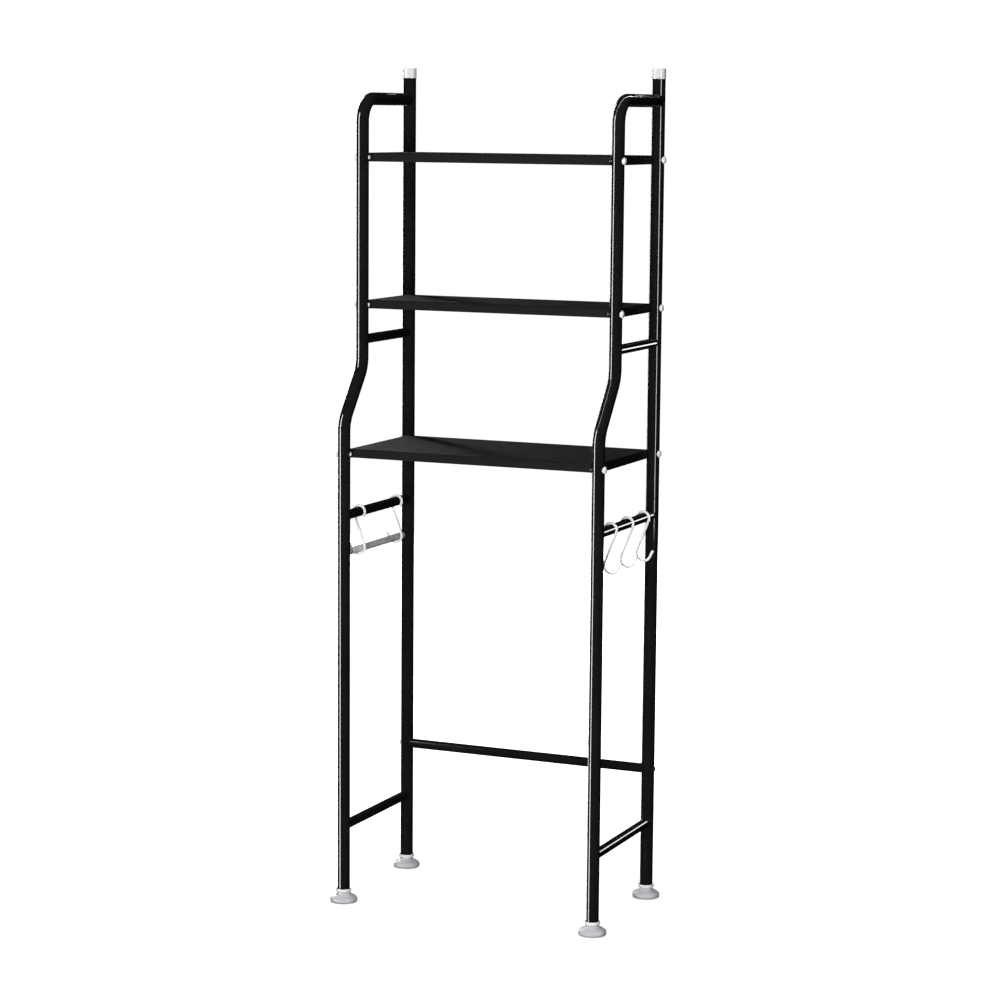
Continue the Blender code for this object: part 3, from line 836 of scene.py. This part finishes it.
def finish_post_caps():
    """A moulded cap over the post's end, with a rounded top edge and a hollow spigot."""
    spigot = REAR_RADIUS - TUBE_WALL - CAP_SPIGOT_GAP
    bore = spigot - CAP_SPIGOT_WALL
    top = CAP_TOP_Z - POST_TOP_Z
    soft = 0.0003
    crown = [(0, top), (CAP_RADIUS / 2, top - CAP_CROWN_DROP / 2)]
    edge = arc((CAP_RADIUS - CAP_EDGE_ROUND, top - CAP_CROWN_DROP - CAP_EDGE_ROUND),
               (CAP_EDGE_ROUND, CAP_EDGE_ROUND), 90, 0, 8)
    foot = arc((CAP_RADIUS - soft, soft), (soft, soft), 0, -90, 4)
    inside = [(spigot, 0), (spigot, CAP_SPIGOT_CHAMFER - CAP_SPIGOT_LENGTH),
              (spigot - CAP_SPIGOT_CHAMFER, -CAP_SPIGOT_LENGTH), (bore, -CAP_SPIGOT_LENGTH),
              (bore, CAP_HOLLOW_TOP), (0, CAP_HOLLOW_TOP)]
    profile = crown + edge + foot + inside
    mesh = make_mesh("post_cap", *revolved(profile, FOOT_SEGMENTS, Z_AXIS, X_AXIS), 30)
    # The caps take the white plastic darkened as painted shade
    mesh.materials.append(MATERIALS["cap_white"])
    for side, sign in SIDES.items():
        finish_node(f"post_cap_{side}", mesh, (sign * HALF_WIDTH, REAR_Y, POST_TOP_Z))


def plug_mesh(name, upright_radius):
    """The leg's insert: a dished collar round the tube's end and a bored spigot inside it."""
    spigot = upright_radius - TUBE_WALL - 0.0003
    seat = TUBE_BOTTOM_Z - 0.0001
    low = CUP_TOP_Z + 0.0003
    rim = upright_radius + COLLAR_PROUD
    outside = flowing([(NECK_RADIUS - 0.0006, low), (NECK_RADIUS, low + 0.0002), (rim - 0.0009, 0.0204),
                       (rim - 0.0001, 0.0221), (rim, 0.0236), (rim - 0.0001, 0.0250),
                       (rim - 0.0008, 0.0260), (rim - 0.0014, 0.0260), (rim - 0.0021, 0.0254),
                       (upright_radius + 0.0002, seat + 0.0002)], 5)
    profile = [(STUD_POCKET_RADIUS, low), *outside, (spigot, seat), (spigot, PLUG_TOP_Z - 0.0006),
               (spigot - 0.0006, PLUG_TOP_Z), (STUD_POCKET_RADIUS, PLUG_TOP_Z)]
    return make_mesh(name, *revolved(profile, FOOT_SEGMENTS, Z_AXIS, X_AXIS))


def cup_mesh():
    """The flared foot: a thin rounded lip, a dished upper face and a neck that holds the stud."""
    lip = flowing([(0.0238, 0), (0.0256, 0.0008), (0.0267, 0.0026), (FOOT_RADIUS, 0.0045),
                   (0.0264, 0.0074), (0.0242, 0.0098), (0.0207, 0.0119), (0.0168, 0.0139),
                   (0.0143, 0.0157), (NECK_RADIUS + 0.0003, 0.0172), (NECK_RADIUS, CUP_TOP_Z)], 5)
    profile = [(0, 0), *lip, (STUD_POCKET_RADIUS, CUP_TOP_Z), (STUD_POCKET_RADIUS, CUP_POCKET_Z),
               (0, CUP_POCKET_Z)]
    return make_mesh("foot_cup", *revolved(profile, FOOT_SEGMENTS, Z_AXIS, X_AXIS))


def stud_mesh():
    """A threaded stud whose grooves climb one pitch for each turn."""
    segments = STUD_SEGMENTS
    rows = round((STUD_TOP_Z - STUD_BOTTOM_Z) / (THREAD_PITCH / THREAD_ROWS))
    points = []
    for row in range(rows + 1):
        z = STUD_BOTTOM_Z + (STUD_TOP_Z - STUD_BOTTOM_Z) * row / rows
        ends = min(row, rows - row, STUD_CHAMFER_ROWS) / STUD_CHAMFER_ROWS
        for index in range(segments):
            phase = (z / THREAD_PITCH - index / segments) % 1
            groove = max(0, abs(2 * phase - 1) * THREAD_SLOPE - THREAD_CREST)
            radius = STUD_RADIUS - THREAD_DEPTH * min(1, groove) - STUD_CHAMFER * (1 - ends)
            turn = 2 * math.pi * index / segments
            points.append(Vector((radius * math.cos(turn), radius * math.sin(turn), z)))
    faces = [tuple(range(segments))[::-1], tuple(range(rows * segments, (rows + 1) * segments))]
    for row in range(rows):
        faces += band(row * segments, (row + 1) * segments, segments)
    return make_mesh("foot_stud", points, faces, 50)


def finish_feet():
    cup = cup_mesh()
    stud = stud_mesh()
    rows = {"front": (FRONT_LOW_Y, plug_mesh("foot_plug_front", FRONT_RADIUS)),
            "rear": (REAR_Y, plug_mesh("foot_plug_rear", REAR_RADIUS))}
    for row, (y, plug) in rows.items():
        for side, sign in SIDES.items():
            at = (sign * HALF_WIDTH, y, 0)
            finish_node(f"foot_plug_{row}_{side}", plug, at)
            finish_node(f"foot_cup_{row}_{side}", cup, at)
            finish_node(f"foot_stud_{row}_{side}", stud, at)


def hook_path(sign):
    """An S in the XZ plane about the bar's axis: a loop over the bar, a slanted shank and a cup."""
    cup = Vector((HOOK_CUP_OUT, -HOOK_CUP_DOWN))
    lean = math.asin((HOOK_LOOP + HOOK_CUP) / cup.length) - math.atan2(cup.x, -cup.y)
    path = []
    for step in range(HOOK_LOOP_STEPS + 1):
        angle = HOOK_LOOP_START + (-lean - HOOK_LOOP_START) * step / HOOK_LOOP_STEPS
        path.append((HOOK_LOOP * math.cos(angle), HOOK_LOOP * math.sin(angle)))
    start = math.pi - lean
    end = 2 * math.pi - HOOK_TIP_LEAN
    for step in range(HOOK_CUP_STEPS + 1):
        angle = start + (end - start) * step / HOOK_CUP_STEPS
        path.append((cup.x + HOOK_CUP * math.cos(angle), cup.y + HOOK_CUP * math.sin(angle)))
    path.append((path[-1][0] + HOOK_TIP_LENGTH * math.sin(HOOK_TIP_LEAN),
                 path[-1][1] + HOOK_TIP_LENGTH * math.cos(HOOK_TIP_LEAN)))
    return [Vector((sign * out, 0, up)) for out, up in path]


def finish_hooks():
    """The hooks on both hanging bars, which don't show in the glossy bars."""
    hooks = {"left": ("roll_hook_front", "roll_hook_rear"),
             "right": ("s_hook_front", "s_hook_middle", "s_hook_rear")}
    for side, sign in SIDES.items():
        mesh = make_mesh(f"hook_{side}", *wire(hook_path(sign), Y_AXIS, WIRE_RADIUS, WIRE_SEGMENTS))
        for node in hooks[side]:
            piece = finish_node(node, mesh, (sign * HALF_WIDTH, middle(node).y, HANGING_BAR_Z))
            piece.visible_glossy = False


def finish_rod():
    """A hollow rod with rolled rims."""
    bore = ROD_RADIUS - ROD_WALL
    soft = ROD_WALL / 2
    rear = arc((ROD_RADIUS - soft, ROD_HALF_LENGTH - soft), (soft, soft), 0, 180, 8)
    front = arc((ROD_RADIUS - soft, soft - ROD_HALF_LENGTH), (soft, soft), 180, 360, 8)
    rear[-1] = (bore, rear[-1][1])
    mesh = make_mesh("roll_rod", *revolved(front + rear, FITTING_SEGMENTS, Y_AXIS, X_AXIS))
    finish_node("roll_rod", mesh, ROD_MIDDLE)


# ------------------------------------------------------- camera, floor and light

def add_camera():
    data = bpy.data.cameras.new("camera")
    data.lens = CAMERA_LENS
    data.sensor_width = SENSOR
    data.clip_end = 100
    camera = bpy.data.objects.new("camera", data)
    forward = Vector((-math.sin(CAMERA_AZIMUTH) * math.cos(CAMERA_DOWN),
                      math.cos(CAMERA_AZIMUTH) * math.cos(CAMERA_DOWN), -math.sin(CAMERA_DOWN)))
    level = Vector((math.cos(CAMERA_AZIMUTH), math.sin(CAMERA_AZIMUTH), 0))
    upright = level.cross(forward)
    right = level * math.cos(CAMERA_ROLL) + upright * math.sin(CAMERA_ROLL)
    up = upright * math.cos(CAMERA_ROLL) - level * math.sin(CAMERA_ROLL)
    turn = Matrix((right, up, -forward)).transposed()
    camera.matrix_world = Matrix.Translation(CAMERA_AT) @ turn.to_4x4()
    bpy.context.scene.collection.objects.link(camera)
    bpy.context.scene.camera = camera


def add_floor():
    """A wide pale floor with a painted glow that is dimmer near the rack, as painted shade, and whitens
    away from it, and a painted contact shadow round its feet.
    """
    reach = FLOOR_REACH
    corners = [(-reach, -reach, 0), (reach, -reach, 0), (reach, reach, 0), (-reach, reach, 0)]
    mesh = bpy.data.meshes.new("floor")
    mesh.from_pydata(corners, [], [(0, 1, 2, 3)])
    floor = bpy.data.objects.new("floor", mesh)
    bpy.context.scene.collection.objects.link(floor)
    material = bpy.data.materials.new("floor_pale")
    material.use_nodes = True
    tree = material.node_tree
    shader = tree.nodes["Principled BSDF"]
    shader.inputs["Base Color"].default_value = (0.85, 0.85, 0.85, 1)
    shader.inputs["Roughness"].default_value = 1.0
    shader.inputs["Specular IOR Level"].default_value = 0.0
    shader.inputs["Emission Color"].default_value = (1, 1, 1, 1)
    place = tree.nodes.new("ShaderNodeTexCoord")
    distance = tree.nodes.new("ShaderNodeVectorMath")
    distance.operation = "LENGTH"
    # Painted glow of the floor, lower near the rack as painted shade
    glow = tree.nodes.new("ShaderNodeMapRange")
    glow.interpolation_type = "SMOOTHSTEP"
    glow.inputs["From Min"].default_value = FLOOR_GLOW_FROM
    glow.inputs["From Max"].default_value = FLOOR_GLOW_TO
    glow.inputs["To Min"].default_value = FLOOR_GLOW_NEAR
    glow.inputs["To Max"].default_value = BACKGROUND_GLOW
    link(tree, place.outputs["Object"], distance.inputs[0])
    link(tree, distance.outputs["Value"], glow.inputs["Value"])
    # Painted contact shadow: ambient occlusion dims the floor's glow round the feet
    painted_contact_shadow = tree.nodes.new("ShaderNodeAmbientOcclusion")
    painted_contact_shadow.inputs["Distance"].default_value = CONTACT_SHADE
    shaded = tree.nodes.new("ShaderNodeMath")
    shaded.operation = "MULTIPLY"
    link(tree, glow.outputs["Result"], shaded.inputs[0])
    link(tree, painted_contact_shadow.outputs["AO"], shaded.inputs[1])
    link(tree, shaded.outputs["Value"], shader.inputs["Emission Strength"])
    mesh.materials.append(material)
    floor.visible_glossy = False
    floor.visible_diffuse = False


def add_world():
    """A white background that the camera sees and that lights nothing."""
    world = bpy.data.worlds.new("studio")
    bpy.context.scene.world = world
    world.use_nodes = True
    background = world.node_tree.nodes["Background"]
    background.inputs["Color"].default_value = (1, 1, 1, 1)
    background.inputs["Strength"].default_value = BACKGROUND_GLOW
    world.cycles_visibility.diffuse = False
    world.cycles_visibility.glossy = False
    bpy.context.scene.view_settings.view_transform = "Standard"


def area_light(name, size, radiance, diffuse, glossy, receivers=None):
    """A rectangular light that the camera doesn't see, and that lights only its receivers if any."""
    data = bpy.data.lights.new(name, "AREA")
    data.shape = "RECTANGLE"
    data.size, data.size_y = size
    data.energy = radiance * POWER_PER_RADIANCE * size[0] * size[1]
    lamp = bpy.data.objects.new(name, data)
    lamp.visible_camera = False
    lamp.visible_diffuse = diffuse
    lamp.visible_glossy = glossy
    bpy.context.scene.collection.objects.link(lamp)
    if receivers:
        lamp.light_linking.receiver_collection = receivers
    return lamp


def receivers_of(name, pieces):
    group = bpy.data.collections.new(f"{name}_receivers")
    for piece in pieces:
        group.objects.link(piece)
    return group


def softbox(name, azimuth, distance, height, size, radiance, diffuse, glossy, pieces=None):
    """A light that faces the rack's middle, at an azimuth measured like the camera's."""
    receivers = receivers_of(name, pieces) if pieces else None
    lamp = area_light(name, size, radiance, diffuse, glossy, receivers)
    turn = math.radians(azimuth)
    lamp.location = (distance * math.sin(turn), -distance * math.cos(turn), height)
    aim = Vector((0, 0, min(height, LIGHT_AIM_Z))) - lamp.location
    lamp.rotation_euler = aim.to_track_quat("-Z", "Y").to_euler()


def add_hoop(pieces):
    """A chain of small lights over the right handle, from the left strip's bearing to behind it."""
    centre = Vector((HALF_WIDTH, FRONT_HIGH_Y, HANDLE_Z))
    receivers = receivers_of("hoop", pieces)
    bearings = [Vector(bearing).normalized() for bearing in HOOP_BEARINGS]
    for part, (first, last) in enumerate(zip(bearings, bearings[1:])):
        turn = first.angle(last)
        count = max(2, round(turn / HOOP_STEP))
        size = (HOOP_RADIUS * turn / count * HOOP_OVERLAP, HOOP_WIDTH)
        for index in range(count):
            away = first.slerp(last, (index + 0.5) / count)
            along = first.cross(last).cross(away).normalized()
            lamp = area_light(f"hoop_{part}_{index}", size, HOOP_RADIANCE, False, True, receivers)
            turned = Matrix((along, away.cross(along), away)).transposed()
            lamp.matrix_world = Matrix.Translation(centre + HOOP_RADIUS * away) @ turned.to_4x4()


def pieces_named(*starts):
    return [item for item in bpy.data.objects
            if item.name.startswith(starts) and "_finished" in item.name]


def add_lights():
    """Broad diffuse lights for the whole rack, and narrow glossy ones for the lines on its tubes."""
    uprights = pieces_named("front_tube")
    fittings = pieces_named("shelf_bolt", "shelf_nut", "post_cap", "foot_", "s_hook", "roll_",
                            "crossbar_screw")
    right_rails = pieces_named("upper_side_rail_right", "hanging_bar_right", "lower_side_rail_right")
    crossbar = pieces_named("rear_crossbar")
    softbox("key", 16, 4.5, 0.9, (1.8, 1.8), 15.5, True, False)
    softbox("top", 10, 0.4, 3.4, (2.4, 2.4), 2.0, True, False)
    softbox("left_fill", -70, 4.0, 1.4, (1.6, 2.0), 1.6, True, False)
    softbox("rear_fill", 200, 4.5, 1.6, (2.0, 2.0), 11, True, False)
    softbox("left_strip", -47, 2.6, 0.8, (0.50, 4.2), 22, False, True,
            uprights + fittings + crossbar)
    softbox("right_strip", 71, 1.6, 1.3, (0.20, 1.7), 16, False, True,
            pieces_named("rear_post_right") + fittings)
    softbox("rear_strip", 233, 2.8, 0.9, (0.4, 4.0), 12, False, True)
    softbox("rail_panel", 155, 3.1, 0.95, (0.6, 0.5), 6, False, True, right_rails)
    add_hoop(pieces_named("front_tube_right"))


def main():
    finish_front_tubes()
    finish_rear_posts()
    finish_side_rails()
    finish_crossbar()
    finish_shelves()
    finish_bolts()
    finish_crossbar_screws()
    finish_post_caps()
    finish_feet()
    finish_hooks()
    finish_rod()
    add_camera()
    add_floor()
    add_world()
    add_lights()


main()
